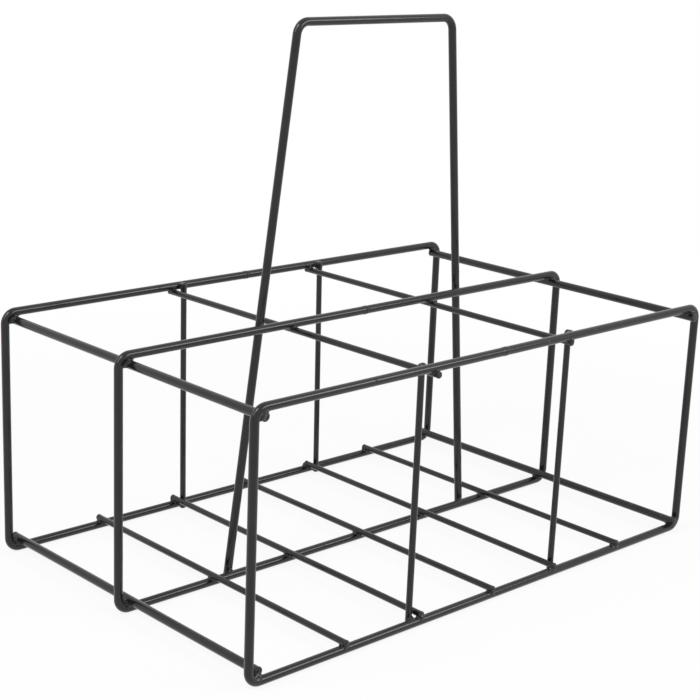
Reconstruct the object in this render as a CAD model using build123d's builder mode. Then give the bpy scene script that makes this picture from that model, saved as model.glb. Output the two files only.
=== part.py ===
"""Bottle caddy: a welded wire basket with six cells and a tall carrying handle.

X runs along the basket, Y across it and Z up. The origin is on the surface that the caddy stands on, under the
middle of the basket.
"""

from build123d import *
import math
import os

# Wire gauges, with the powder coat on them
frame_wire_diameter = 4.4
grid_wire_diameter = 3.3

# Basket: length and height are measured over the wires, spacing from centre to centre
basket_length = 320.0
basket_height = 133.0
hoop_spacing = 99.5
hoop_bend_radius = 6.0

# Crossbars: how far the left pair sits off the middle towards the back, and the right pair towards the front
crossbar_shift = 2.2

# Floor wires, from centre to centre
floor_wire_spacing = 50.0
floor_wire_count = 5

# Each upright stands beside its divider with a gap of its own, and ends just above the underside of the hoops
front_left_upright_gap = 0.4
front_right_upright_gap = 0.2
back_left_upright_gap = 0.3
back_right_upright_gap = 1.8
upright_foot_clearance = 0.5

# Handle: height over all, spans from centre to centre, and how far its feet and its grip sit off the middle
handle_height = 284.0
handle_foot_span = 173.5
handle_foot_shift = 0.7
handle_grip_span = 108.5
handle_grip_shift = 6.0
handle_bend_radius = 7.0
handle_foot_clearance = 0.5

# Butt weld that closes each hoop: its length along the wire and how far it stands proud of it
seam_weld_length = 4.0
seam_weld_rise = 0.25

# Weld lump between two frame wires: how far apart it holds them, its width and depth as shares of the wire's
# diameter, and how far it leans on the handle, towards the middle of the basket's height
weld_gap = 0.1
weld_width_share = 1.1
weld_depth_share = 0.5
weld_lean_share = 0.3

# Where a bend's control points lie, as a share of the way from the end of a straight run to the corner
bend_ease_share = 0.55

# Heights and places that follow from the sizes above
frame_wire_radius = frame_wire_diameter / 2
grid_wire_radius = grid_wire_diameter / 2
top_run_height = basket_height - frame_wire_radius
bottom_run_height = frame_wire_radius
end_run_place = basket_length / 2 - frame_wire_radius
cross_wire_length = 2 * hoop_spacing + frame_wire_diameter
grid_seat = frame_wire_radius + grid_wire_radius
frame_seat = frame_wire_diameter + weld_gap

hoop_places = {"front_hoop": -hoop_spacing, "middle_hoop": 0, "back_hoop": hoop_spacing}

os.makedirs("parts", exist_ok=True)


def finish(piece, name):
    """Names a finished piece and writes its file."""
    piece.part.label = name
    export_step(piece.part, f"parts/{name}.step")


def bent_line(corners, radius):
    """Draws the middle line of a bent wire: straight runs joined by bends that ease in and out."""
    run_start = corners[0]
    for before, corner, after in zip(corners, corners[1:], corners[2:]):
        bend_corner = Vector(*corner)
        back = (Vector(*before) - bend_corner).normalized()
        onward = (Vector(*after) - bend_corner).normalized()
        reach = radius / math.tan(math.radians(back.get_angle(onward)) / 2)
        ease = reach * (1 - bend_ease_share)
        bend = [bend_corner + back * reach, bend_corner + back * ease]
        bend += [bend_corner + onward * ease, bend_corner + onward * reach]
        bend_points = [(point.X, point.Y) for point in bend]
        Line(run_start, bend_points[0])
        Bezier(*bend_points)
        run_start = bend_points[-1]
    Line(run_start, corners[-1])


# Three hoops. Each is one wire, bent at four corners, whose ends meet in the middle of the top run
hoops = []
for name, hoop_place in hoop_places.items():
    with BuildPart() as hoop:
        with BuildLine(Plane.XZ.offset(-hoop_place)) as hoop_path:
            bent_line(
                [
                    (seam_weld_length / 2, top_run_height),
                    (end_run_place, top_run_height),
                    (end_run_place, bottom_run_height),
                    (-end_run_place, bottom_run_height),
                    (-end_run_place, top_run_height),
                    (-seam_weld_length / 2, top_run_height),
                ],
                hoop_bend_radius,
            )
        with BuildSketch(Plane(origin=hoop_path.line @ 0, x_dir=(0, 1, 0), z_dir=hoop_path.line % 0)):
            Circle(frame_wire_radius)
        sweep()
    finish(hoop, name)
    hoops.append(hoop.part)

# Butt welds that close the hoops
with BuildPart() as hoop_seam_welds:
    for hoop_place in hoop_places.values():
        seam_start = Plane(origin=(-seam_weld_length / 2, hoop_place, top_run_height), z_dir=(1, 0, 0))
        with BuildSketch(seam_start):
            Circle(frame_wire_radius + seam_weld_rise)
        extrude(amount=seam_weld_length)
finish(hoop_seam_welds, "hoop_seam_welds")


def cross_wire(name, x, z, radius, shift=0):
    """A straight wire that runs from front to back, across all three hoops, shifted towards the back."""
    with BuildPart() as wire:
        with BuildSketch(Plane(origin=(x, shift - cross_wire_length / 2, z), z_dir=(0, 1, 0))):
            Circle(radius)
        extrude(amount=cross_wire_length)
    finish(wire, name)
    return wire.part


# Four crossbars, one in each corner of the hoops, where the straight run begins
crossbar_place = end_run_place - max(hoop_bend_radius, frame_wire_diameter)
top_crossbar_height = top_run_height - frame_seat
bottom_crossbar_height = bottom_run_height + frame_seat
crossbars = []
for level, height in {"top": top_crossbar_height, "bottom": bottom_crossbar_height}.items():
    for side, x, shift in (("left", -crossbar_place, crossbar_shift), ("right", crossbar_place, -crossbar_shift)):
        crossbars.append(cross_wire(f"{level}_{side}_crossbar", x, height, frame_wire_radius, shift))

# Floor wires, lying on the bottom runs
first_floor_wire = -floor_wire_spacing * (floor_wire_count - 1) / 2
floor_wire_height = bottom_run_height + grid_seat
floor_wires = []
for i in range(floor_wire_count):
    floor_wire_place = first_floor_wire + i * floor_wire_spacing
    floor_wires.append(cross_wire(f"floor_wire_{i + 1}", floor_wire_place, floor_wire_height, grid_wire_radius))

# Dividers, hung under the top runs in line with two of the floor wires
divider_place = floor_wire_spacing
cross_wire("left_divider", -divider_place, top_run_height - grid_seat, grid_wire_radius)
cross_wire("right_divider", divider_place, top_run_height - grid_seat, grid_wire_radius)

# Uprights, on the inner side of the outer hoops, each beside a divider
upright_place = hoop_spacing - grid_seat
upright_places = {
    "front_left_upright": (-divider_place - grid_wire_diameter - front_left_upright_gap, -upright_place),
    "front_right_upright": (divider_place + grid_wire_diameter + front_right_upright_gap, -upright_place),
    "back_left_upright": (-divider_place + grid_wire_diameter + back_left_upright_gap, upright_place),
    "back_right_upright": (divider_place + grid_wire_diameter + back_right_upright_gap, upright_place),
}
for name, (x, y) in upright_places.items():
    with BuildPart() as upright:
        with BuildSketch(Plane(origin=(x, y, upright_foot_clearance))):
            Circle(grid_wire_radius)
        extrude(amount=basket_height - upright_foot_clearance)
    finish(upright, name)

# Handle: one wire bent to a tall trapezoid, behind the middle hoop and welded to both its runs
grip_height = handle_height - frame_wire_radius
left_leg_places = (handle_foot_shift - handle_foot_span / 2, handle_grip_shift - handle_grip_span / 2)
right_leg_places = (handle_foot_shift + handle_foot_span / 2, handle_grip_shift + handle_grip_span / 2)


def leg_point(leg_places, height):
    """Where a leg of the handle is at a height. Its places are at the bottom run and at the grip."""
    foot, corner = leg_places
    rise_share = (height - bottom_run_height) / (grip_height - bottom_run_height)
    return (foot + (corner - foot) * rise_share, height)


with BuildPart() as handle:
    with BuildLine(Plane.XZ.offset(-frame_seat)) as handle_path:
        bent_line(
            [
                leg_point(left_leg_places, handle_foot_clearance),
                leg_point(left_leg_places, grip_height),
                leg_point(right_leg_places, grip_height),
                leg_point(right_leg_places, handle_foot_clearance),
            ],
            handle_bend_radius,
        )
    with BuildSketch(Plane(origin=handle_path.line @ 0, z_dir=handle_path.line % 0)):
        Circle(frame_wire_radius)
    sweep()
finish(handle, "handle")

# Weld lumps where one frame wire is held to another: blocks between the two, cut to fit them and what they meet
lump_width = frame_wire_diameter * weld_width_share
lump_depth = frame_wire_diameter * weld_depth_share

with BuildPart() as crossbar_welds:
    for seat_height in (bottom_run_height + frame_seat / 2, top_run_height - frame_seat / 2):
        with BuildSketch(Plane.XY.offset(seat_height)):
            with Locations(*[(x, y) for x in (-crossbar_place, crossbar_place) for y in hoop_places.values()]):
                Rectangle(lump_width, lump_width)
        extrude(amount=lump_depth / 2, both=True)
    add(hoops + crossbars, mode=Mode.SUBTRACT)
finish(crossbar_welds, "crossbar_welds")

with BuildPart() as handle_welds:
    lean = frame_wire_diameter * weld_lean_share
    with BuildSketch(Plane.XZ.offset(-frame_seat / 2)):
        for leg_places in (left_leg_places, right_leg_places):
            for height in (bottom_run_height + lean, top_run_height - lean):
                with Locations(leg_point(leg_places, height)):
                    Rectangle(lump_width, lump_width)
    extrude(amount=lump_depth / 2, both=True)
    add(hoops + floor_wires + [handle.part], mode=Mode.SUBTRACT)
finish(handle_welds, "handle_welds")
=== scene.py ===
"""Looks of a welded wire bottle caddy: its wires, their welds and the powder coat."""

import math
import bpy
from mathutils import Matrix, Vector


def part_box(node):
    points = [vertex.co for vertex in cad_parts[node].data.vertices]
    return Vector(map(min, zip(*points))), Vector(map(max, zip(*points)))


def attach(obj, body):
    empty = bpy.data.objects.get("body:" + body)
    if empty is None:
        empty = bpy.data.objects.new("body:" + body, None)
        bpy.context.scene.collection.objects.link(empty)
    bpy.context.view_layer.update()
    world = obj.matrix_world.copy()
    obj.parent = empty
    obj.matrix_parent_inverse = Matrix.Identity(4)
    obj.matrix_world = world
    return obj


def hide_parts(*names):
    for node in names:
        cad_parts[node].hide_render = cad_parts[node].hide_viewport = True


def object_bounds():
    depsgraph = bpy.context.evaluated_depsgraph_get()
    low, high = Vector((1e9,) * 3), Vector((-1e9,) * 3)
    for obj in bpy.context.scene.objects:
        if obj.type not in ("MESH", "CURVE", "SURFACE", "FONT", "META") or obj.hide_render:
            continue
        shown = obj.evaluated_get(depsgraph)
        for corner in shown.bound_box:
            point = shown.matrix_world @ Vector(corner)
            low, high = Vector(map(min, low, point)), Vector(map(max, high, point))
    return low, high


bl_info = {
    "name": "Wire Bottle Caddy",
    "version": (1, 0, 0),
    "blender": (4, 5, 0),
    "location": "View3D > Sidebar > Bottle Caddy",
    "description": "Builds a welded wire bottle caddy with a black powder coat, and a studio to show it in",
    "category": "Object",
}

import bpy
import numpy as np
from mathutils import Matrix, Vector

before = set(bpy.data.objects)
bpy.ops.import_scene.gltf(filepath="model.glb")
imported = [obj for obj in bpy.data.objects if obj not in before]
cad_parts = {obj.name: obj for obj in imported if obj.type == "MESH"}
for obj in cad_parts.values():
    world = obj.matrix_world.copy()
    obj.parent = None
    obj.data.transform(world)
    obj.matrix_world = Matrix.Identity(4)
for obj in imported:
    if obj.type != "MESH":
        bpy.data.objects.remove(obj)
cad_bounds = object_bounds()

BODY = "root"

HOOPS = ("front_hoop", "middle_hoop", "back_hoop")
CROSSBARS = ("top_left_crossbar", "top_right_crossbar", "bottom_left_crossbar", "bottom_right_crossbar")
FLOOR_WIRES = tuple(sorted(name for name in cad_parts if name.startswith("floor_wire_")))
DIVIDERS = ("left_divider", "right_divider")
UPRIGHTS = ("front_left_upright", "front_right_upright", "back_left_upright", "back_right_upright")

# How far each straight wire sits from its nominal place along X, at its front and its back end. For an
# upright, at its top and its foot
OUT_OF_TRUE = {
    "floor_wire_1": (-0.0001, 0.0003),
    "floor_wire_2": (0.0005, 0.0012),
    "floor_wire_3": (0.0011, 0.0014),
    "floor_wire_4": (-0.0008, 0.0016),
    "floor_wire_5": (0.0017, 0.0017),
    "left_divider": (0.0017, -0.002),
    "right_divider": (-0.0003, -0.0013),
    "front_left_upright": (0.0004, 0.0001),
    "front_right_upright": (-0.0004, -0.001),
    "back_left_upright": (-0.0005, 0.0006),
    "back_right_upright": (-0.0014, 0.0013),
}

# How far a straight wire's front and back ends stop short of their nominal places. Less than zero is longer
CUT_SHORT = {
    "top_left_crossbar": (-0.0006, 0.0),
    "bottom_left_crossbar": (0.0001, 0.0),
    "top_right_crossbar": (0.0, 0.0006),
    "floor_wire_2": (0.0008, 0.0),
    "floor_wire_4": (0.0, 0.002),
    "floor_wire_5": (0.0, 0.0006),
    "left_divider": (-0.0013, 0.0),
}

# Shape of a cut end from its middle outwards: shares of the wire's radius, and of the dish's depth
DISH_PROFILE = ((0.08, 1.0), (0.3, 0.85), (0.55, 0.35))

# Shape of a cut end behind its rim: shares of the flare, and distances from the end in roundings of the rim
FLARE_PROFILE = ((0.5, 2.0), (0.0, 3.2))
END_LENGTH = 4

# Angles round the rim of a cut end, in degrees
RIM_ANGLES = (0, 30, 60, 90)

BEND_POINTS = 15

# How much a wire bows along X, Y and Z, as shares of the bow
UPRIGHT_SWAY = (1.0, 0.3, 0.0)
LEVEL_SWAY = (1.0, 0.0, 0.6)

# How many waves the unevenness of weld metal adds up, and their lengths as shares of its size
WAVE_COUNT = 7
WAVE_LENGTHS = (0.7, 1.6)

# How far a weld's lump reaches into the hoop, into the other wire and sideways. The middle number is in
# radii of the other wire, and the outer two are in radii of the hoop's
CROSSING_SPAN = (1.2, 1.7, 2.3)
STANDING_SPAN = (1.2, 1.6, 1.7)

# Balls of extra weld metal at a crossing: offsets out of the basket from where the wires touch, and radii
CROSSBAR_BALLS = (((0.0026, 0.0004, -0.0022), 0.0015), ((0.0016, 0.0, 0.0), 0.0016))
FLOOR_WIRE_BALLS = (((0.0, 0.0012, 0.0), 0.0013),)
DIVIDER_BALLS = (((0.0, 0.0011, 0.0), 0.0012),)

# Balls of extra weld metal at an upright's foot and top: offsets into the basket and upwards, and radii
UPRIGHT_BALLS = (((0.0008, 0.0004), 0.0018), ((0.0012, -0.0002), 0.0021))

# Rings of points along the collar of a butt weld
SEAM_RINGS = 25

# Seeds of the first lump of each kind, and how far apart the seeds of two wires are
CROSSBAR_SEED = 100
FLOOR_WIRE_SEED = 200
DIVIDER_SEED = 300
UPRIGHT_SEED = 400
HANDLE_SEED = 500
SEED_STEP = 10

# What each letter of a wire's name adds to the seed of its bow
LETTER_SEED = 31

# Noise values between which the coat goes from one shade to the other, and how far its roughness strays
MOTTLE_RANGE = (0.35, 0.75)
ROUGHNESS_RANGE = (-0.04, 0.06)

# Width of a patch of gloss, as a share of a patch of colour
GLOSS_PATCH_SHARE = 0.4

# Soft boxes: place, width and height, and how many times as bright as white paper
SOFT_BOXES = {
    "overhead_soft_box": ((-0.85, 0.0, 1.4), (0.6, 0.45), 8.0),
    "right_soft_box": ((0.64, -1.12, 0.8), (0.95, 0.5), 5.0),
    "left_soft_box": ((-1.2, 0.15, 1.0), (0.6, 0.6), 3.0),
}
SOFT_BOX_TARGET = (0, 0, 0.1)


def wire_radius(node):
    """Half of a wire's thickness, which is the smallest side of its box."""
    low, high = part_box(node)
    return min(high - low) / 2


FRAME_RADIUS = wire_radius("middle_hoop")


class CaddyWires(bpy.types.PropertyGroup):
    """Shapes of the wires."""

    hoop_bend_radius: bpy.props.FloatProperty(
        name="Hoop bend radius",
        description="Radius of a hoop's four bends, along the middle of the wire",
        default=0.006,
        unit="LENGTH",
    )
    handle_bend_radius: bpy.props.FloatProperty(
        name="Handle bend radius",
        description="Radius of the handle's two bends, along the middle of the wire",
        default=0.007,
        unit="LENGTH",
    )
    grip_span: bpy.props.FloatProperty(
        name="Grip span",
        description="Distance between the handle's two corners",
        default=0.1085,
        unit="LENGTH",
    )
    grip_shift: bpy.props.FloatProperty(
        name="Grip shift",
        description="How far the grip sits to the right of the middle of the basket",
        default=0.006,
        unit="LENGTH",
    )
    floor_wire_set_in: bpy.props.FloatProperty(
        name="Floor wire set-in",
        description="How deep the welding has pressed a floor wire into the bottom runs",
        default=0.0004,
        unit="LENGTH",
    )
    divider_set_in: bpy.props.FloatProperty(
        name="Divider set-in",
        description="How deep the welding has pressed a divider into the top runs",
        default=0.0008,
        unit="LENGTH",
    )
    upright_short: bpy.props.FloatProperty(
        name="Upright shortfall",
        description="How far an upright's top stops below the top of the hoops",
        default=0.0005,
        unit="LENGTH",
    )
    end_flare: bpy.props.FloatProperty(
        name="End flare",
        description="How much wider a sheared and coated end is than its wire, as a share of its radius",
        default=0.07,
        subtype="FACTOR",
    )
    end_rounding: bpy.props.FloatProperty(
        name="End rounding",
        description="Radius that the coat gives to the rim of a cut end",
        default=0.0006,
        unit="LENGTH",
    )
    end_dish: bpy.props.FloatProperty(
        name="End dish",
        description="How deep the middle of a cut end lies below its rim",
        default=0.00015,
        unit="LENGTH",
    )
    run_spacing: bpy.props.FloatProperty(
        name="Ring spacing",
        description="Distance between rings of points along a straight run",
        default=0.006,
        unit="LENGTH",
    )
    bow: bpy.props.FloatProperty(
        name="Bow",
        description="How far a straight wire strays from its line between two welds",
        default=0.00015,
        unit="LENGTH",
    )
    sides: bpy.props.IntProperty(
        name="Sides",
        description="Number of points round a wire",
        default=36,
        min=12,
    )


class CaddyWelds(bpy.types.PropertyGroup):
    """Shapes of the welds."""

    bar_blend: bpy.props.FloatProperty(
        name="Frame wire blend",
        description="Width of the fillet where weld metal and coat run from one thick wire to the other",
        default=0.0016,
        unit="LENGTH",
    )
    tack_blend: bpy.props.FloatProperty(
        name="Thin wire blend",
        description="Width of the fillet where weld metal and coat run from a thin wire to a hoop",
        default=0.0013,
        unit="LENGTH",
    )
    roughness_height: bpy.props.FloatProperty(
        name="Lump height",
        description="How far the weld metal is uneven",
        default=0.00022,
        unit="LENGTH",
    )
    roughness_size: bpy.props.FloatProperty(
        name="Lump size",
        description="Length of one unevenness",
        default=0.0021,
        unit="LENGTH",
    )
    sink: bpy.props.FloatProperty(
        name="Sink",
        description="How far a weld's skin lies under the wire's, where it is not proud of it",
        default=0.00002,
        unit="LENGTH",
    )
    seam_rise: bpy.props.FloatProperty(
        name="Seam rise",
        description="How far the butt weld of a hoop stands proud of the wire",
        default=0.00016,
        unit="LENGTH",
    )


class CaddyCoat(bpy.types.PropertyGroup):
    """Colours and gloss of the powder coat."""

    colour: bpy.props.FloatVectorProperty(
        name="Coat colour",
        description="Colour of the powder coat",
        subtype="COLOR",
        size=3,
        default=(0.003, 0.003, 0.0031),
        min=0.0,
        max=1.0,
    )
    pale_colour: bpy.props.FloatVectorProperty(
        name="Thin coat colour",
        description="Colour where the coat is thinner or carries a little dust",
        subtype="COLOR",
        size=3,
        default=(0.0075, 0.0075, 0.0076),
        min=0.0,
        max=1.0,
    )
    roughness: bpy.props.FloatProperty(
        name="Roughness",
        description="Mean roughness of the coat",
        default=0.13,
        min=0.0,
        max=1.0,
    )
    peel_size: bpy.props.FloatProperty(
        name="Peel size",
        description="Width of one dimple of the coat's orange peel",
        default=0.0011,
        unit="LENGTH",
    )
    peel_depth: bpy.props.FloatProperty(
        name="Peel depth",
        description="Depth of the coat's orange peel",
        default=0.00002,
        unit="LENGTH",
    )
    nib_spacing: bpy.props.FloatProperty(
        name="Nib spacing",
        description="Distance between grains of dust under the coat",
        default=0.0065,
        unit="LENGTH",
    )
    nib_size: bpy.props.FloatProperty(
        name="Nib size",
        description="Half the width of the coat's dome over a grain of dust",
        default=0.0007,
        unit="LENGTH",
    )
    nib_height: bpy.props.FloatProperty(
        name="Nib height",
        description="Height of the coat's dome over a grain of dust",
        default=0.00016,
        unit="LENGTH",
    )
    refractive_index: bpy.props.FloatProperty(
        name="Refractive index",
        description="How strongly the coat mirrors what is round it",
        default=1.45,
        min=1.0,
    )
    sheen: bpy.props.FloatProperty(
        name="Sheen",
        description="Strength of the soft sheen of fine dust on the coat",
        default=0.08,
        min=0.0,
        max=1.0,
    )


class CaddyStudio(bpy.types.PropertyGroup):
    """Camera, lamps and floor."""

    camera_place: bpy.props.FloatVectorProperty(
        name="Camera place",
        description="Where the camera stands",
        subtype="TRANSLATION",
        size=3,
        default=(-0.58272, -0.60478, 0.34048),
    )
    camera_azimuth: bpy.props.FloatProperty(
        name="Azimuth",
        description="Direction that the camera looks from, round the caddy",
        default=math.radians(-43.4769),
        subtype="ANGLE",
    )
    camera_elevation: bpy.props.FloatProperty(
        name="Elevation",
        description="How far the camera looks down",
        default=math.radians(15.4414),
        subtype="ANGLE",
    )
    camera_roll: bpy.props.FloatProperty(
        name="Roll",
        description="How far the camera is turned about its line of sight",
        default=math.radians(2.2564),
        subtype="ANGLE",
    )
    focal_length: bpy.props.FloatProperty(
        name="Focal length",
        description="Focal length in millimetres on a 36 mm wide picture",
        default=83.905,
        subtype="DISTANCE_CAMERA",
    )
    floor_size: bpy.props.FloatProperty(
        name="Floor size",
        description="Length of one side of the floor",
        default=40.0,
        unit="LENGTH",
    )
    floor_colour: bpy.props.FloatVectorProperty(
        name="Floor colour",
        description="Colour of the floor",
        subtype="COLOR",
        size=3,
        default=(0.9, 0.9, 0.9),
        min=0.0,
        max=1.0,
    )
    shadow_share: bpy.props.FloatProperty(
        name="Shadow share",
        description="How much of the floor's own shading shows near the caddy, against plain white",
        default=0.12,
        min=0.0,
        max=1.0,
    )
    shadow_near: bpy.props.FloatProperty(
        name="Shadow reach",
        description="How far round the caddy the floor's shading shows in full",
        default=0.25,
        unit="LENGTH",
    )
    shadow_far: bpy.props.FloatProperty(
        name="Shadow end",
        description="How far round the caddy the floor's shading has faded to plain white",
        default=0.63,
        unit="LENGTH",
    )
    room_light: bpy.props.FloatProperty(
        name="Room light",
        description="Strength of the even light from all sides",
        default=0.55,
        min=0.0,
    )


def ring_frames(path):
    """A path's direction at each point, and two unit vectors across it, carried along without twist."""
    steps = np.diff(path, axis=0)
    steps /= np.linalg.norm(steps, axis=1)[:, None]
    tangents = np.vstack([steps[:1], steps[:-1] + steps[1:], steps[-1:]])
    tangents /= np.linalg.norm(tangents, axis=1)[:, None]
    guide = np.eye(3)[np.argmin(np.abs(tangents[0]))]
    side = np.cross(tangents[0], guide)
    sides = []
    for tangent in tangents:
        side = side - tangent * side.dot(tangent)
        side /= np.linalg.norm(side)
        sides.append(side)
    sides = np.array(sides)
    return tangents, sides, np.cross(tangents, sides)


def tube(path, radii, sides, slides=None):
    """Points and faces of a tube with closed ends: rings of these radii on a path, or slid along it."""
    tangents, across, upward = ring_frames(path)
    centres = np.asarray(path, float)
    if slides is not None:
        extra = (len(slides) - len(path)) // 2
        at = np.clip(np.arange(len(slides)) - extra, 0, len(path) - 1)
        tangents, across, upward = tangents[at], across[at], upward[at]
        centres = centres[at] + np.asarray(slides)[:, None] * tangents
    turns = np.arange(sides) * 2 * math.pi / sides
    spokes = np.cos(turns)[:, None] * across[:, None, :] + np.sin(turns)[:, None] * upward[:, None, :]
    rings = centres[:, None, :] + np.asarray(radii, float)[:, None, None] * spokes
    points = np.vstack([rings.reshape(-1, 3), centres[:1], centres[-1:]])
    count = len(centres)
    faces = []
    for ring in range(count - 1):
        for i in range(sides):
            j = (i + 1) % sides
            low, high = ring * sides, (ring + 1) * sides
            faces.append((low + i, low + j, high + j, high + i))
    first, last = count * sides, count * sides + 1
    end = (count - 1) * sides
    for i in range(sides):
        j = (i + 1) % sides
        faces.append((first, j, i))
        faces.append((last, end + i, end + j))
    return points, faces


def cut_wire(path, radius, wires):
    """A wire along a path. Its cut ends are a little dished, and the coat rounds their rims."""
    rounding = wires.end_rounding
    flared = radius * (1 + wires.end_flare)
    rim = [(radius * share, wires.end_dish * depth) for share, depth in DISH_PROFILE]
    for angle in np.radians(RIM_ANGLES):
        rim.append((flared - rounding * (1 - math.sin(angle)), rounding * (1 - math.cos(angle))))
    rim += [(radius * (1 + wires.end_flare * share), rounding * depth) for share, depth in FLARE_PROFILE]
    length = rounding * END_LENGTH
    trimmed = np.array(path, float)
    trimmed[0] += length * (path[1] - path[0]) / np.linalg.norm(path[1] - path[0])
    trimmed[-1] += length * (path[-2] - path[-1]) / np.linalg.norm(path[-2] - path[-1])
    radii = [ring for ring, depth in rim] + [radius] * len(path) + [ring for ring, depth in reversed(rim)]
    slides = [depth - length for ring, depth in rim] + [0.0] * len(path)
    slides += [length - depth for ring, depth in reversed(rim)]
    return tube(trimmed, radii, wires.sides, slides)


def straight_path(start, end, spacing):
    """Evenly spaced points from one place to another."""
    start, end = np.asarray(start, float), np.asarray(end, float)
    count = max(2, int(round(np.linalg.norm(end - start) / spacing)) + 1)
    return start + (end - start) * np.linspace(0, 1, count)[:, None]


def bent_path(corners, radius, spacing):
    """Points along straight runs joined by round bends."""
    corners = [np.asarray(corner, float) for corner in corners]
    points = []
    run_start = corners[0]
    for before, corner, after in zip(corners, corners[1:], corners[2:]):
        back = (before - corner) / np.linalg.norm(before - corner)
        onward = (after - corner) / np.linalg.norm(after - corner)
        half = math.acos(np.clip(back.dot(onward), -1, 1)) / 2
        reach = radius / math.tan(half)
        bisector = (back + onward) / np.linalg.norm(back + onward)
        centre = corner + bisector * radius / math.sin(half)
        points += list(straight_path(run_start, corner + back * reach, spacing))[:-1]
        first = corner + back * reach - centre
        last = corner + onward * reach - centre
        turn = math.pi - 2 * half
        for share in np.linspace(0, 1, BEND_POINTS):
            swing = math.sin((1 - share) * turn) * first + math.sin(share * turn) * last
            points.append(centre + swing / math.sin(turn))
        run_start = points.pop()
    points += list(straight_path(run_start, corners[-1], spacing))
    return np.array(points)


def merged(shapes):
    """One set of points and faces from several."""
    points, faces, offset = [], [], 0
    for shape_points, shape_faces in shapes:
        points.append(shape_points)
        faces += [tuple(i + offset for i in face) for face in shape_faces]
        offset += len(shape_points)
    return np.vstack(points), faces


def make_piece(name, shape, coat, nodes=()):
    """A smooth shaded object that rides on the caddy, stands for its CAD nodes and wears a coat."""
    points, faces = shape
    points = np.clip(points, *cad_bounds)
    mesh = bpy.data.meshes.new(name)
    mesh.from_pydata(points.tolist(), [], faces)
    mesh.validate()
    mesh.shade_smooth()
    mesh.materials.append(coat)
    piece = bpy.data.objects.new(name, mesh)
    bpy.context.scene.collection.objects.link(piece)
    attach(piece, BODY)
    if nodes:
        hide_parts(*nodes)


def node_middle(node):
    """Middle of a CAD node's box."""
    low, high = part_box(node)
    return np.array((low + high) / 2)


def hoop_line():
    """Places of a hoop's straight runs, along the middle of the wire: ends along X, then bottom and top."""
    low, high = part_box("middle_hoop")
    return high.x - FRAME_RADIUS, low.z + FRAME_RADIUS, high.z - FRAME_RADIUS


def hoop_surface(node, bend_radius):
    """How far points are from a hoop's skin, less than zero inside the wire."""
    end, bottom, top = hoop_line()
    place = node_middle(node)[1]
    half = np.array([end, (top - bottom) / 2]) - bend_radius
    middle = np.array([0, (top + bottom) / 2])

    def distance(points):
        beyond = np.abs(points[..., [0, 2]] - middle) - half
        outside = np.linalg.norm(np.maximum(beyond, 0), axis=-1)
        from_line = np.abs(outside + np.minimum(beyond.max(-1), 0) - bend_radius)
        return np.hypot(from_line, points[..., 1] - place) - FRAME_RADIUS

    return distance


def wire_surface(start, end, radius, rounding):
    """How far points are from the skin of a straight wire with rounded rims, less than zero inside it."""
    start, end = np.asarray(start, float), np.asarray(end, float)
    length = np.linalg.norm(end - start)
    way = (end - start) / length

    def distance(points):
        from_middle = points - (start + end) / 2
        along = from_middle @ way
        across = np.linalg.norm(from_middle - along[..., None] * way, axis=-1)
        beyond = np.stack([across - (radius - rounding), np.abs(along) - (length / 2 - rounding)], -1)
        return np.linalg.norm(np.maximum(beyond, 0), axis=-1) + np.minimum(beyond.max(-1), 0) - rounding

    return distance


def ball_surface(centre, radius):
    """How far points are from the skin of a ball."""
    centre = np.asarray(centre, float)

    def distance(points):
        return np.linalg.norm(points - centre, axis=-1) - radius

    return distance


def uneven(points, size, seed):
    """A smooth, irregular height between about -1 and 1, the same each time."""
    random = np.random.default_rng(seed)
    total = np.zeros(points.shape[:-1])
    for _ in range(WAVE_COUNT):
        way = random.normal(size=3)
        way *= 2 * math.pi / (size * random.uniform(*WAVE_LENGTHS) * np.linalg.norm(way))
        total += np.sin(points @ way + random.uniform(0, 2 * math.pi))
    return total / (WAVE_COUNT / 2)


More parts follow.
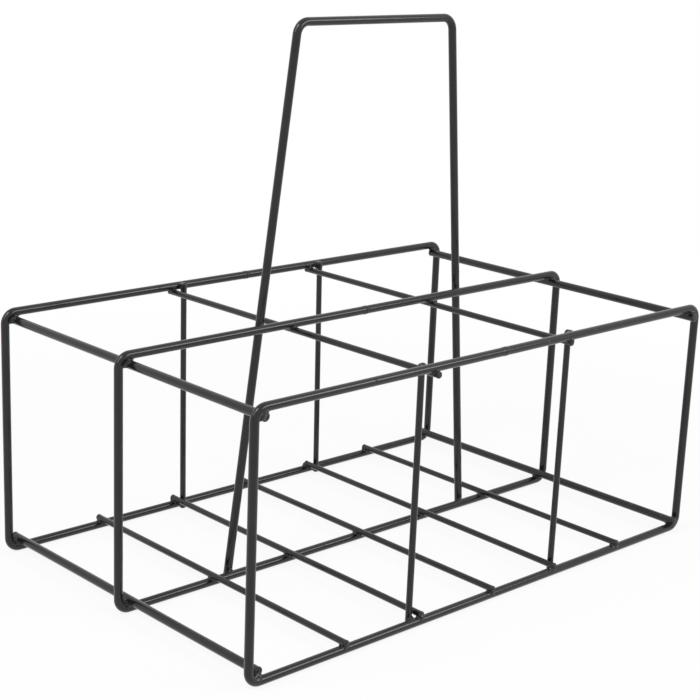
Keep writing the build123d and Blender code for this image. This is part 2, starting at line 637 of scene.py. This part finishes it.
def weld_lump(centre, normal, surfaces, welds, seed, radius, span, blend):
    """Skin of the weld metal round a crossing of a hoop with a wire of this radius.

    Rays run outwards from the line through the crossing along the normal. Each stops where it leaves the two
    wires, the balls of extra metal and the fillet that blends them.
    """
    turns, levels, steps = 64, 28, 56
    normal = np.asarray(normal, float) / np.linalg.norm(normal)
    guide = np.eye(3)[np.argmin(np.abs(normal))]
    across = np.cross(normal, guide)
    across /= np.linalg.norm(across)
    upward = np.cross(normal, across)
    angle = np.arange(turns) * 2 * math.pi / turns
    spokes = np.cos(angle)[:, None] * across + np.sin(angle)[:, None] * upward
    heights = np.linspace(-FRAME_RADIUS * span[0], radius * span[1], levels)
    reach = FRAME_RADIUS * span[2]
    far = np.linspace(0, reach, steps)
    base = np.asarray(centre, float) + heights[:, None] * normal
    points = base[:, None, None, :] + far[None, None, :, None] * spokes[None, :, None, :]
    depth = surfaces[0](points)
    for surface in surfaces[1:]:
        other = surface(points)
        meet = np.maximum(blend - np.abs(depth - other), 0) / blend
        depth = np.minimum(depth, other) - meet**2 * blend / 4
        depth = depth - meet * welds.roughness_height * uneven(points, welds.roughness_size, seed)
    depth = depth + welds.sink
    outside = depth > 0
    outside[..., 0] = False
    left = outside.any(-1)
    exit_step = np.where(left, outside.argmax(-1), steps - 1)
    before = np.take_along_axis(depth, np.maximum(exit_step - 1, 0)[..., None], -1)[..., 0]
    after = np.take_along_axis(depth, exit_step[..., None], -1)[..., 0]
    share = np.where(left, before / np.where(before - after == 0, -1, before - after), 1.0)
    distance = (exit_step - 1 + np.clip(share, 0, 1)) * (reach / (steps - 1))
    rings = base[:, None, :] + distance[..., None] * spokes[None, :, :]
    skin = np.vstack([rings.reshape(-1, 3), base[:1], base[-1:]])
    faces = []
    for level in range(levels - 1):
        for i in range(turns):
            j = (i + 1) % turns
            lower, upper = level * turns, (level + 1) * turns
            faces.append((lower + i, lower + j, upper + j, upper + i))
    first, last, end = levels * turns, levels * turns + 1, (levels - 1) * turns
    for i in range(turns):
        j = (i + 1) % turns
        faces.append((first, j, i))
        faces.append((last, end + i, end + j))
    return skin, faces


def wire_ends(node, wires):
    """Where a straight wire starts and ends: from front to back, or from its top to its foot."""
    low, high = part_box(node)
    middle = (low + high) / 2
    if node in FLOOR_WIRES:
        middle.z -= wires.floor_wire_set_in
    if node in DIVIDERS:
        middle.z += wires.divider_set_in
    first_shift, second_shift = OUT_OF_TRUE.get(node, (0.0, 0.0))
    if node in UPRIGHTS:
        return (
            np.array([middle.x + first_shift, middle.y, high.z - wires.upright_short]),
            np.array([middle.x + second_shift, middle.y, low.z]),
        )
    front_cut, back_cut = CUT_SHORT.get(node, (0.0, 0.0))
    return (
        np.array([middle.x + first_shift, low.y + front_cut, middle.z]),
        np.array([middle.x + second_shift, high.y - back_cut, middle.z]),
    )


def bowed_path(node, wires, seed):
    """Points along a straight wire, which strays a little from its line between its welds."""
    start, end = wire_ends(node, wires)
    path = straight_path(start, end, wires.run_spacing)
    random = np.random.default_rng(seed)
    if node in UPRIGHTS:
        between = np.sin(math.pi * np.linspace(0, 1, len(path)))
        sway = np.array(UPRIGHT_SWAY)
    else:
        between = np.sin(2 * math.pi * np.linspace(0, 1, len(path)))
        sway = np.array(LEVEL_SWAY)
    return path + wires.bow * between[:, None] * random.uniform(-1, 1, 3) * sway


def handle_line(wires):
    """The handle's four corners along the middle of its wire: left foot, two grip corners, right foot."""
    low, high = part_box("handle")
    grip_height = high.z - FRAME_RADIUS
    place = (low.y + high.y) / 2
    left_corner = wires.grip_shift - wires.grip_span / 2
    right_corner = wires.grip_shift + wires.grip_span / 2
    height = grip_height - low.z
    left_slope = math.atan2(left_corner - low.x - FRAME_RADIUS, height)
    right_slope = math.atan2(high.x - FRAME_RADIUS - right_corner, height)
    left_foot = low.x + FRAME_RADIUS * math.cos(left_slope)
    right_foot = high.x - FRAME_RADIUS * math.cos(right_slope)
    foot_height = low.z + FRAME_RADIUS * math.sin(left_slope)
    return [
        np.array([left_foot, place, foot_height]),
        np.array([left_corner, place, grip_height]),
        np.array([right_corner, place, grip_height]),
        np.array([right_foot, place, foot_height]),
    ]


def at_height(foot, corner, height):
    """Place on a leg of the handle at a height."""
    return foot + (corner - foot) * (height - foot[2]) / (corner[2] - foot[2])


def straight_surface(node, wires):
    """Skin of a straight wire, as a distance."""
    start, end = wire_ends(node, wires)
    return wire_surface(start, end, wire_radius(node), wires.end_rounding)


def point_at(node, depth, wires):
    """Place on a front to back wire at a distance along Y."""
    start, end = wire_ends(node, wires)
    return start + (end - start) * (depth - start[1]) / (end[1] - start[1])


def link(tree, source, target):
    """Joins two sockets of a node tree."""
    tree.links.new(source, target)


def add_node(tree, kind, place, **inputs):
    """A node at a place in the editor, with some of its inputs set."""
    node = tree.nodes.new(kind)
    node.location = place
    for name, value in inputs.items():
        node.inputs[name.replace("_", " ")].default_value = value
    return node


def powder_coat(name, coat, roughness_gain, depth_gain, mottle_size):
    """Glossy black powder coat: two near blacks in soft patches, grains of dust, and orange peel."""
    found = bpy.data.materials.get(name)
    if found:
        return found
    material = bpy.data.materials.new(name)
    material.use_nodes = True
    tree = material.node_tree
    tree.nodes.clear()
    output = add_node(tree, "ShaderNodeOutputMaterial", (900, 0))
    shader = add_node(tree, "ShaderNodeBsdfPrincipled", (600, 0))
    shader.inputs["Specular IOR Level"].default_value = 0.5
    shader.inputs["IOR"].default_value = coat.refractive_index
    shader.inputs["Sheen Weight"].default_value = coat.sheen
    shader.inputs["Sheen Roughness"].default_value = 0.5
    link(tree, shader.outputs["BSDF"], output.inputs["Surface"])
    place = add_node(tree, "ShaderNodeTexCoord", (-900, 0))

    patches = add_node(
        tree, "ShaderNodeTexNoise", (-600, 200), Scale=1 / mottle_size, Detail=3.0, Roughness=0.55
    )
    link(tree, place.outputs["Object"], patches.inputs["Vector"])
    spread = add_node(tree, "ShaderNodeMapRange", (-350, 200))
    spread.inputs["From Min"].default_value = MOTTLE_RANGE[0]
    spread.inputs["From Max"].default_value = MOTTLE_RANGE[1]
    link(tree, patches.outputs["Fac"], spread.inputs["Value"])
    shades = add_node(tree, "ShaderNodeMix", (-100, 200))
    shades.data_type = "RGBA"
    mix_inputs = {socket.identifier: socket for socket in shades.inputs}
    mix_outputs = {socket.identifier: socket for socket in shades.outputs}
    mix_inputs["A_Color"].default_value = (*coat.colour, 1.0)
    mix_inputs["B_Color"].default_value = (*coat.pale_colour, 1.0)
    link(tree, spread.outputs["Result"], mix_inputs["Factor_Float"])
    link(tree, mix_outputs["Result_Color"], shader.inputs["Base Color"])

    gloss_size = mottle_size * GLOSS_PATCH_SHARE
    gloss = add_node(tree, "ShaderNodeTexNoise", (-600, -100), Scale=1 / gloss_size, Detail=4.0)
    link(tree, place.outputs["Object"], gloss.inputs["Vector"])
    gloss_range = add_node(tree, "ShaderNodeMapRange", (-350, -100))
    gloss_range.inputs["To Min"].default_value = coat.roughness * roughness_gain + ROUGHNESS_RANGE[0]
    gloss_range.inputs["To Max"].default_value = coat.roughness * roughness_gain + ROUGHNESS_RANGE[1]
    link(tree, gloss.outputs["Fac"], gloss_range.inputs["Value"])
    link(tree, gloss_range.outputs["Result"], shader.inputs["Roughness"])

    peel = add_node(
        tree, "ShaderNodeTexNoise", (-600, -400), Scale=1 / coat.peel_size, Detail=2.0, Roughness=0.4
    )
    link(tree, place.outputs["Object"], peel.inputs["Vector"])
    bump = add_node(tree, "ShaderNodeBump", (100, -300), Strength=1.0, Distance=coat.peel_depth * depth_gain)
    link(tree, peel.outputs["Fac"], bump.inputs["Height"])
    nibs = add_node(tree, "ShaderNodeTexVoronoi", (-600, -650), Scale=1 / coat.nib_spacing)
    link(tree, place.outputs["Object"], nibs.inputs["Vector"])
    domes = add_node(tree, "ShaderNodeMapRange", (-350, -650))
    domes.interpolation_type = "SMOOTHSTEP"
    domes.inputs["From Max"].default_value = coat.nib_size / coat.nib_spacing
    domes.inputs["To Min"].default_value = 1.0
    domes.inputs["To Max"].default_value = 0.0
    link(tree, nibs.outputs["Distance"], domes.inputs["Value"])
    nib_bump = add_node(tree, "ShaderNodeBump", (350, -300), Strength=1.0, Distance=coat.nib_height)
    link(tree, domes.outputs["Result"], nib_bump.inputs["Height"])
    link(tree, bump.outputs["Normal"], nib_bump.inputs["Normal"])
    link(tree, nib_bump.outputs["Normal"], shader.inputs["Normal"])
    return material


def wire_coat(context):
    """The coat on a drawn wire."""
    return powder_coat(
        "black_powder_coat",
        context.scene.caddy_coat,
        roughness_gain=1.0,
        depth_gain=1.0,
        mottle_size=0.012,
    )


def weld_coat(context):
    """The coat over a weld, which is thicker, duller and more uneven."""
    return powder_coat(
        "powder_coat_over_weld",
        context.scene.caddy_coat,
        roughness_gain=1.12,
        depth_gain=2.2,
        mottle_size=0.004,
    )


class CADDY_OT_bend_hoops(bpy.types.Operator):
    """Bends the three hoops, each one wire whose ends meet in the middle of the top run"""

    bl_idname = "caddy.bend_hoops"
    bl_label = "Bend hoops"

    def execute(self, context):
        wires = context.scene.caddy_wires
        end, bottom, top = hoop_line()
        for node in HOOPS:
            place = node_middle(node)[1]
            flat = [(0, top), (end, top), (end, bottom), (-end, bottom), (-end, top), (0, top)]
            corners = [(x, place, z) for x, z in flat]
            path = bent_path(corners, wires.hoop_bend_radius, wires.run_spacing)
            shape = cut_wire(path, FRAME_RADIUS, wires)
            make_piece(f"{node}_wire", shape, wire_coat(context), [node])
        return {"FINISHED"}


def lay_straight(context, nodes):
    """Makes each of these straight wires."""
    wires = context.scene.caddy_wires
    for number, node in enumerate(nodes):
        path = bowed_path(node, wires, seed=len(node) * LETTER_SEED + number)
        shape = cut_wire(path, wire_radius(node), wires)
        make_piece(f"{node}_wire", shape, wire_coat(context), [node])


class CADDY_OT_lay_crossbars(bpy.types.Operator):
    """Lays the four bars that tie the hoops' corners together"""

    bl_idname = "caddy.lay_crossbars"
    bl_label = "Lay crossbars"

    def execute(self, context):
        lay_straight(context, CROSSBARS)
        return {"FINISHED"}


class CADDY_OT_lay_floor_wires(bpy.types.Operator):
    """Lays the thin wires that the bottles stand on"""

    bl_idname = "caddy.lay_floor_wires"
    bl_label = "Lay floor wires"

    def execute(self, context):
        lay_straight(context, FLOOR_WIRES)
        return {"FINISHED"}


class CADDY_OT_hang_dividers(bpy.types.Operator):
    """Hangs the two thin wires that part the cells under the top runs"""

    bl_idname = "caddy.hang_dividers"
    bl_label = "Hang dividers"

    def execute(self, context):
        lay_straight(context, DIVIDERS)
        return {"FINISHED"}


class CADDY_OT_stand_uprights(bpy.types.Operator):
    """Stands the four short wires that part the cells at the front and at the back"""

    bl_idname = "caddy.stand_uprights"
    bl_label = "Stand uprights"

    def execute(self, context):
        lay_straight(context, UPRIGHTS)
        return {"FINISHED"}


class CADDY_OT_bend_handle(bpy.types.Operator):
    """Bends the tall carrying handle"""

    bl_idname = "caddy.bend_handle"
    bl_label = "Bend handle"

    def execute(self, context):
        wires = context.scene.caddy_wires
        path = bent_path(handle_line(wires), wires.handle_bend_radius, wires.run_spacing)
        shape = cut_wire(path, FRAME_RADIUS, wires)
        make_piece("handle_wire", shape, wire_coat(context), ["handle"])
        return {"FINISHED"}


def crossing_lump(context, node, hoop, level, seed, blend, balls):
    """Weld between a front to back wire and the run of a hoop that it crosses, at the bottom or the top."""
    wires, welds = context.scene.caddy_wires, context.scene.caddy_welds
    bottom, top = hoop_line()[1:]
    point = point_at(node, node_middle(hoop)[1], wires)
    upward = 1 if level == "bottom" else -1
    run_height = bottom if level == "bottom" else top
    contact = np.array([point[0], point[1], run_height + upward * FRAME_RADIUS])
    outward = np.array([np.sign(point[0]), np.sign(round(point[1], 3)), -upward])
    surfaces = [hoop_surface(hoop, wires.hoop_bend_radius), straight_surface(node, wires)]
    surfaces += [ball_surface(contact + outward * offset, size) for offset, size in balls]
    return weld_lump(contact, (0, 0, upward), surfaces, welds, seed, wire_radius(node), CROSSING_SPAN, blend)


def crossing_lumps(context, nodes, first_seed, blend, balls):
    """Welds of front to back wires to every hoop that they cross."""
    lumps = []
    for number, node in enumerate(nodes):
        level = "top" if node.startswith("top") or node in DIVIDERS else "bottom"
        for index, hoop in enumerate(HOOPS):
            seed = first_seed + number * SEED_STEP + index
            lumps.append(crossing_lump(context, node, hoop, level, seed, blend, balls))
    return merged(lumps)


class CADDY_OT_weld_crossbars(bpy.types.Operator):
    """Welds the crossbars to the hoops"""

    bl_idname = "caddy.weld_crossbars"
    bl_label = "Weld crossbars"

    def execute(self, context):
        blend = context.scene.caddy_welds.bar_blend
        lumps = crossing_lumps(context, CROSSBARS, CROSSBAR_SEED, blend, CROSSBAR_BALLS)
        make_piece("crossbar_weld_lumps", lumps, weld_coat(context), ["crossbar_welds"])
        return {"FINISHED"}


class CADDY_OT_tack_floor_wires(bpy.types.Operator):
    """Tacks the floor wires to the bottom runs"""

    bl_idname = "caddy.tack_floor_wires"
    bl_label = "Tack floor wires"

    def execute(self, context):
        blend = context.scene.caddy_welds.tack_blend
        lumps = crossing_lumps(context, FLOOR_WIRES, FLOOR_WIRE_SEED, blend, FLOOR_WIRE_BALLS)
        make_piece("floor_wire_tacks", lumps, weld_coat(context))
        return {"FINISHED"}


class CADDY_OT_tack_dividers(bpy.types.Operator):
    """Tacks the dividers to the top runs"""

    bl_idname = "caddy.tack_dividers"
    bl_label = "Tack dividers"

    def execute(self, context):
        blend = context.scene.caddy_welds.tack_blend
        lumps = crossing_lumps(context, DIVIDERS, DIVIDER_SEED, blend, DIVIDER_BALLS)
        make_piece("divider_tacks", lumps, weld_coat(context))
        return {"FINISHED"}


def standing_lump(context, start, end, radius, hoop, height, seed, blend, balls=()):
    """Weld between a standing wire and the run of a hoop behind or in front of it."""
    wires, welds = context.scene.caddy_wires, context.scene.caddy_welds
    hoop_place = node_middle(hoop)[1]
    inward = 1 if start[1] > hoop_place else -1
    point = at_height(start, end, height)
    contact = np.array([point[0], hoop_place + inward * FRAME_RADIUS, height])
    surfaces = [hoop_surface(hoop, wires.hoop_bend_radius)]
    surfaces.append(wire_surface(start, end, radius, wires.end_rounding))
    for (into_basket, upwards), size in balls:
        surfaces.append(ball_surface(contact + np.array([0, inward * into_basket, upwards]), size))
    return weld_lump(contact, (0, inward, 0), surfaces, welds, seed, radius, STANDING_SPAN, blend)


class CADDY_OT_tack_uprights(bpy.types.Operator):
    """Tacks the uprights to the outer hoops"""

    bl_idname = "caddy.tack_uprights"
    bl_label = "Tack uprights"

    def execute(self, context):
        lumps = []
        heights = hoop_line()[1:]
        blend = context.scene.caddy_welds.tack_blend
        for number, node in enumerate(UPRIGHTS):
            hoop = "front_hoop" if node.startswith("front") else "back_hoop"
            start, foot = wire_ends(node, context.scene.caddy_wires)
            radius = wire_radius(node)
            for index, (height, ball) in enumerate(zip(heights, UPRIGHT_BALLS)):
                seed = UPRIGHT_SEED + number * SEED_STEP + index
                lumps.append(standing_lump(context, start, foot, radius, hoop, height, seed, blend, [ball]))
        make_piece("upright_tacks", merged(lumps), weld_coat(context))
        return {"FINISHED"}


class CADDY_OT_weld_handle(bpy.types.Operator):
    """Welds the handle to both runs of the middle hoop"""

    bl_idname = "caddy.weld_handle"
    bl_label = "Weld handle"

    def execute(self, context):
        left_foot, left_corner, right_corner, right_foot = handle_line(context.scene.caddy_wires)
        blend = context.scene.caddy_welds.bar_blend
        lumps = []
        for number, (foot, corner) in enumerate(((left_foot, left_corner), (right_foot, right_corner))):
            for index, height in enumerate(hoop_line()[1:]):
                seed = HANDLE_SEED + number * SEED_STEP + index
                lumps.append(
                    standing_lump(context, corner, foot, FRAME_RADIUS, "middle_hoop", height, seed, blend)
                )
        make_piece("handle_weld_lumps", merged(lumps), weld_coat(context), ["handle_welds"])
        return {"FINISHED"}


class CADDY_OT_weld_seams(bpy.types.Operator):
    """Closes each hoop with a butt weld near the middle of its top run"""

    bl_idname = "caddy.weld_seams"
    bl_label = "Weld hoop seams"

    def execute(self, context):
        wires, welds = context.scene.caddy_wires, context.scene.caddy_welds
        top = hoop_line()[2]
        # A collar fills the right half of its weld's box: the weld is a little to the right of the middle
        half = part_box("hoop_seam_welds")[1].x / 2
        shares = np.linspace(-1, 1, SEAM_RINGS)
        swell = np.cos(shares * math.pi / 2) ** 2
        radii = FRAME_RADIUS - welds.sink * 2 + welds.seam_rise * swell
        collars = []
        for hoop in HOOPS:
            place = node_middle(hoop)[1]
            path = np.array([(half + share * half, place, top) for share in shares])
            collars.append(tube(path, radii, wires.sides))
        make_piece("hoop_seam_collars", merged(collars), weld_coat(context), ["hoop_seam_welds"])
        return {"FINISHED"}


def seen_directly(tree, place):
    """A number that is 1 for what the camera or a reflection sees, and 0 for what lights the caddy."""
    path = add_node(tree, "ShaderNodeLightPath", place)
    first = add_node(tree, "ShaderNodeMath", (place[0] + 200, place[1]))
    first.operation = "MAXIMUM"
    second = add_node(tree, "ShaderNodeMath", (place[0] + 400, place[1]))
    second.operation = "MAXIMUM"
    link(tree, path.outputs["Is Camera Ray"], first.inputs[0])
    link(tree, path.outputs["Is Glossy Ray"], first.inputs[1])
    link(tree, first.outputs[0], second.inputs[0])
    link(tree, path.outputs["Is Transmission Ray"], second.inputs[1])
    return second.outputs[0]


def soft_lamp(name, place, size, brightness):
    """A soft box that faces the caddy. Its face is so many times as bright as white paper."""
    width, height = size
    lamp = bpy.data.lights.new(name, "AREA")
    lamp.shape = "RECTANGLE"
    lamp.size = width
    lamp.size_y = height
    lamp.energy = brightness * math.pi * width * height
    box = bpy.data.objects.new(name, lamp)
    bpy.context.scene.collection.objects.link(box)
    box.location = place
    box.rotation_euler = (Vector(SOFT_BOX_TARGET) - Vector(place)).to_track_quat("-Z", "Y").to_euler()


class CADDY_OT_set_studio(bpy.types.Operator):
    """Sets the floor, the room light, the lamps and the camera"""

    bl_idname = "caddy.set_studio"
    bl_label = "Set studio"

    def execute(self, context):
        studio = context.scene.caddy_studio
        self.lay_floor(studio)
        self.light_room(context, studio)
        self.hang_lamps()
        self.place_camera(context, studio)
        context.scene.view_settings.view_transform = "Standard"
        return {"FINISHED"}

    def lay_floor(self, studio):
        """Lays a pale floor, white to the camera and reflections, with a faint shadow near the caddy."""
        half = studio.floor_size / 2
        mesh = bpy.data.meshes.new("studio_floor")
        corners = [(-half, -half, 0), (half, -half, 0), (half, half, 0), (-half, half, 0)]
        mesh.from_pydata(corners, [], [(0, 1, 2, 3)])
        floor = bpy.data.objects.new("studio_floor", mesh)
        bpy.context.scene.collection.objects.link(floor)
        material = bpy.data.materials.new("studio_floor")
        material.use_nodes = True
        tree = material.node_tree
        tree.nodes.clear()
        output = add_node(tree, "ShaderNodeOutputMaterial", (1100, 0))
        paint = add_node(tree, "ShaderNodeBsdfDiffuse", (200, -200))
        paint.inputs["Color"].default_value = (*studio.floor_colour, 1.0)
        place = add_node(tree, "ShaderNodeTexCoord", (-900, -300))
        distance = add_node(tree, "ShaderNodeVectorMath", (-700, -300))
        distance.operation = "LENGTH"
        link(tree, place.outputs["Object"], distance.inputs[0])
        white = add_node(tree, "ShaderNodeEmission", (400, 0), Strength=1.0)
        plain = add_node(tree, "ShaderNodeMapRange", (-400, -400))
        plain.interpolation_type = "SMOOTHSTEP"
        plain.inputs["From Min"].default_value = studio.shadow_near
        plain.inputs["From Max"].default_value = studio.shadow_far
        plain.inputs["To Min"].default_value = 1 - studio.shadow_share
        plain.inputs["To Max"].default_value = 1.0
        link(tree, distance.outputs["Value"], plain.inputs["Value"])
        share = add_node(tree, "ShaderNodeMath", (500, 300))
        share.operation = "MULTIPLY"
        link(tree, seen_directly(tree, (-500, 300)), share.inputs[0])
        link(tree, plain.outputs["Result"], share.inputs[1])
        blend = add_node(tree, "ShaderNodeMixShader", (850, 0))
        link(tree, share.outputs[0], blend.inputs[0])
        link(tree, paint.outputs[0], blend.inputs[1])
        link(tree, white.outputs[0], blend.inputs[2])
        link(tree, blend.outputs[0], output.inputs["Surface"])
        mesh.materials.append(material)

    def light_room(self, context, studio):
        """Lights the caddy evenly from a room that the camera and reflections see as white."""
        world = bpy.data.worlds.new("studio_room")
        context.scene.world = world
        world.use_nodes = True
        tree = world.node_tree
        tree.nodes.clear()
        output = add_node(tree, "ShaderNodeOutputWorld", (900, 0))
        shown = add_node(tree, "ShaderNodeBackground", (400, 100), Strength=1.0)
        shown.inputs["Color"].default_value = (1, 1, 1, 1)
        lighting = add_node(tree, "ShaderNodeBackground", (400, -100), Strength=studio.room_light)
        lighting.inputs["Color"].default_value = (1, 1, 1, 1)
        blend = add_node(tree, "ShaderNodeMixShader", (650, 0))
        link(tree, seen_directly(tree, (-500, 300)), blend.inputs[0])
        link(tree, lighting.outputs[0], blend.inputs[1])
        link(tree, shown.outputs[0], blend.inputs[2])
        link(tree, blend.outputs[0], output.inputs["Surface"])

    def hang_lamps(self):
        """Hangs the soft boxes round the caddy."""
        for name, (place, size, brightness) in SOFT_BOXES.items():
            soft_lamp(name, place, size, brightness)

    def place_camera(self, context, studio):
        """Places the camera at the photograph's viewing angle."""
        azimuth, elevation = studio.camera_azimuth, studio.camera_elevation
        back = Vector(
            (
                math.sin(azimuth) * math.cos(elevation),
                -math.cos(azimuth) * math.cos(elevation),
                math.sin(elevation),
            )
        )
        right = Vector((0, 0, 1)).cross(back).normalized()
        upward = back.cross(right)
        turn = Matrix((right, upward, back)).transposed().to_4x4()
        roll = Matrix.Rotation(studio.camera_roll, 4, "Z")
        lens = bpy.data.cameras.new("studio_camera")
        lens.sensor_width = 36.0
        lens.lens = studio.focal_length
        lens.clip_start = 0.05
        lens.clip_end = 100.0
        camera = bpy.data.objects.new("studio_camera", lens)
        context.scene.collection.objects.link(camera)
        camera.matrix_world = Matrix.Translation(studio.camera_place) @ turn @ roll
        context.scene.camera = camera


OPERATORS = (
    CADDY_OT_bend_hoops,
    CADDY_OT_lay_crossbars,
    CADDY_OT_lay_floor_wires,
    CADDY_OT_hang_dividers,
    CADDY_OT_stand_uprights,
    CADDY_OT_bend_handle,
    CADDY_OT_weld_seams,
    CADDY_OT_weld_crossbars,
    CADDY_OT_weld_handle,
    CADDY_OT_tack_floor_wires,
    CADDY_OT_tack_dividers,
    CADDY_OT_tack_uprights,
    CADDY_OT_set_studio,
)


class CADDY_PT_panel(bpy.types.Panel):
    """Lists the caddy's sizes and the steps that build it"""

    bl_label = "Bottle Caddy"
    bl_idname = "CADDY_PT_panel"
    bl_space_type = "VIEW_3D"
    bl_region_type = "UI"
    bl_category = "Bottle Caddy"

    def draw(self, context):
        for group in ("caddy_wires", "caddy_welds", "caddy_coat", "caddy_studio"):
            settings = getattr(context.scene, group)
            for name in settings.bl_rna.properties.keys():
                if name not in ("rna_type", "name"):
                    self.layout.prop(settings, name)
        for operator in OPERATORS:
            self.layout.operator(operator.bl_idname)


GROUPS = {
    "caddy_wires": CaddyWires,
    "caddy_welds": CaddyWelds,
    "caddy_coat": CaddyCoat,
    "caddy_studio": CaddyStudio,
}


def register():
    """Registers the settings, the operators and the panel."""
    for name, group in GROUPS.items():
        bpy.utils.register_class(group)
        setattr(bpy.types.Scene, name, bpy.props.PointerProperty(type=group))
    for operator in OPERATORS:
        bpy.utils.register_class(operator)
    bpy.utils.register_class(CADDY_PT_panel)


def unregister():
    """Takes away what register added."""
    bpy.utils.unregister_class(CADDY_PT_panel)
    for operator in reversed(OPERATORS):
        bpy.utils.unregister_class(operator)
    for name, group in reversed(GROUPS.items()):
        delattr(bpy.types.Scene, name)
        bpy.utils.unregister_class(group)


def main():
    """Builds the caddy and its studio."""
    register()
    bpy.ops.caddy.bend_hoops()
    bpy.ops.caddy.lay_crossbars()
    bpy.ops.caddy.lay_floor_wires()
    bpy.ops.caddy.hang_dividers()
    bpy.ops.caddy.stand_uprights()
    bpy.ops.caddy.bend_handle()
    bpy.ops.caddy.weld_seams()
    bpy.ops.caddy.weld_crossbars()
    bpy.ops.caddy.weld_handle()
    bpy.ops.caddy.tack_floor_wires()
    bpy.ops.caddy.tack_dividers()
    bpy.ops.caddy.tack_uprights()
    bpy.ops.caddy.set_studio()


if __name__ == "__main__":
    main()
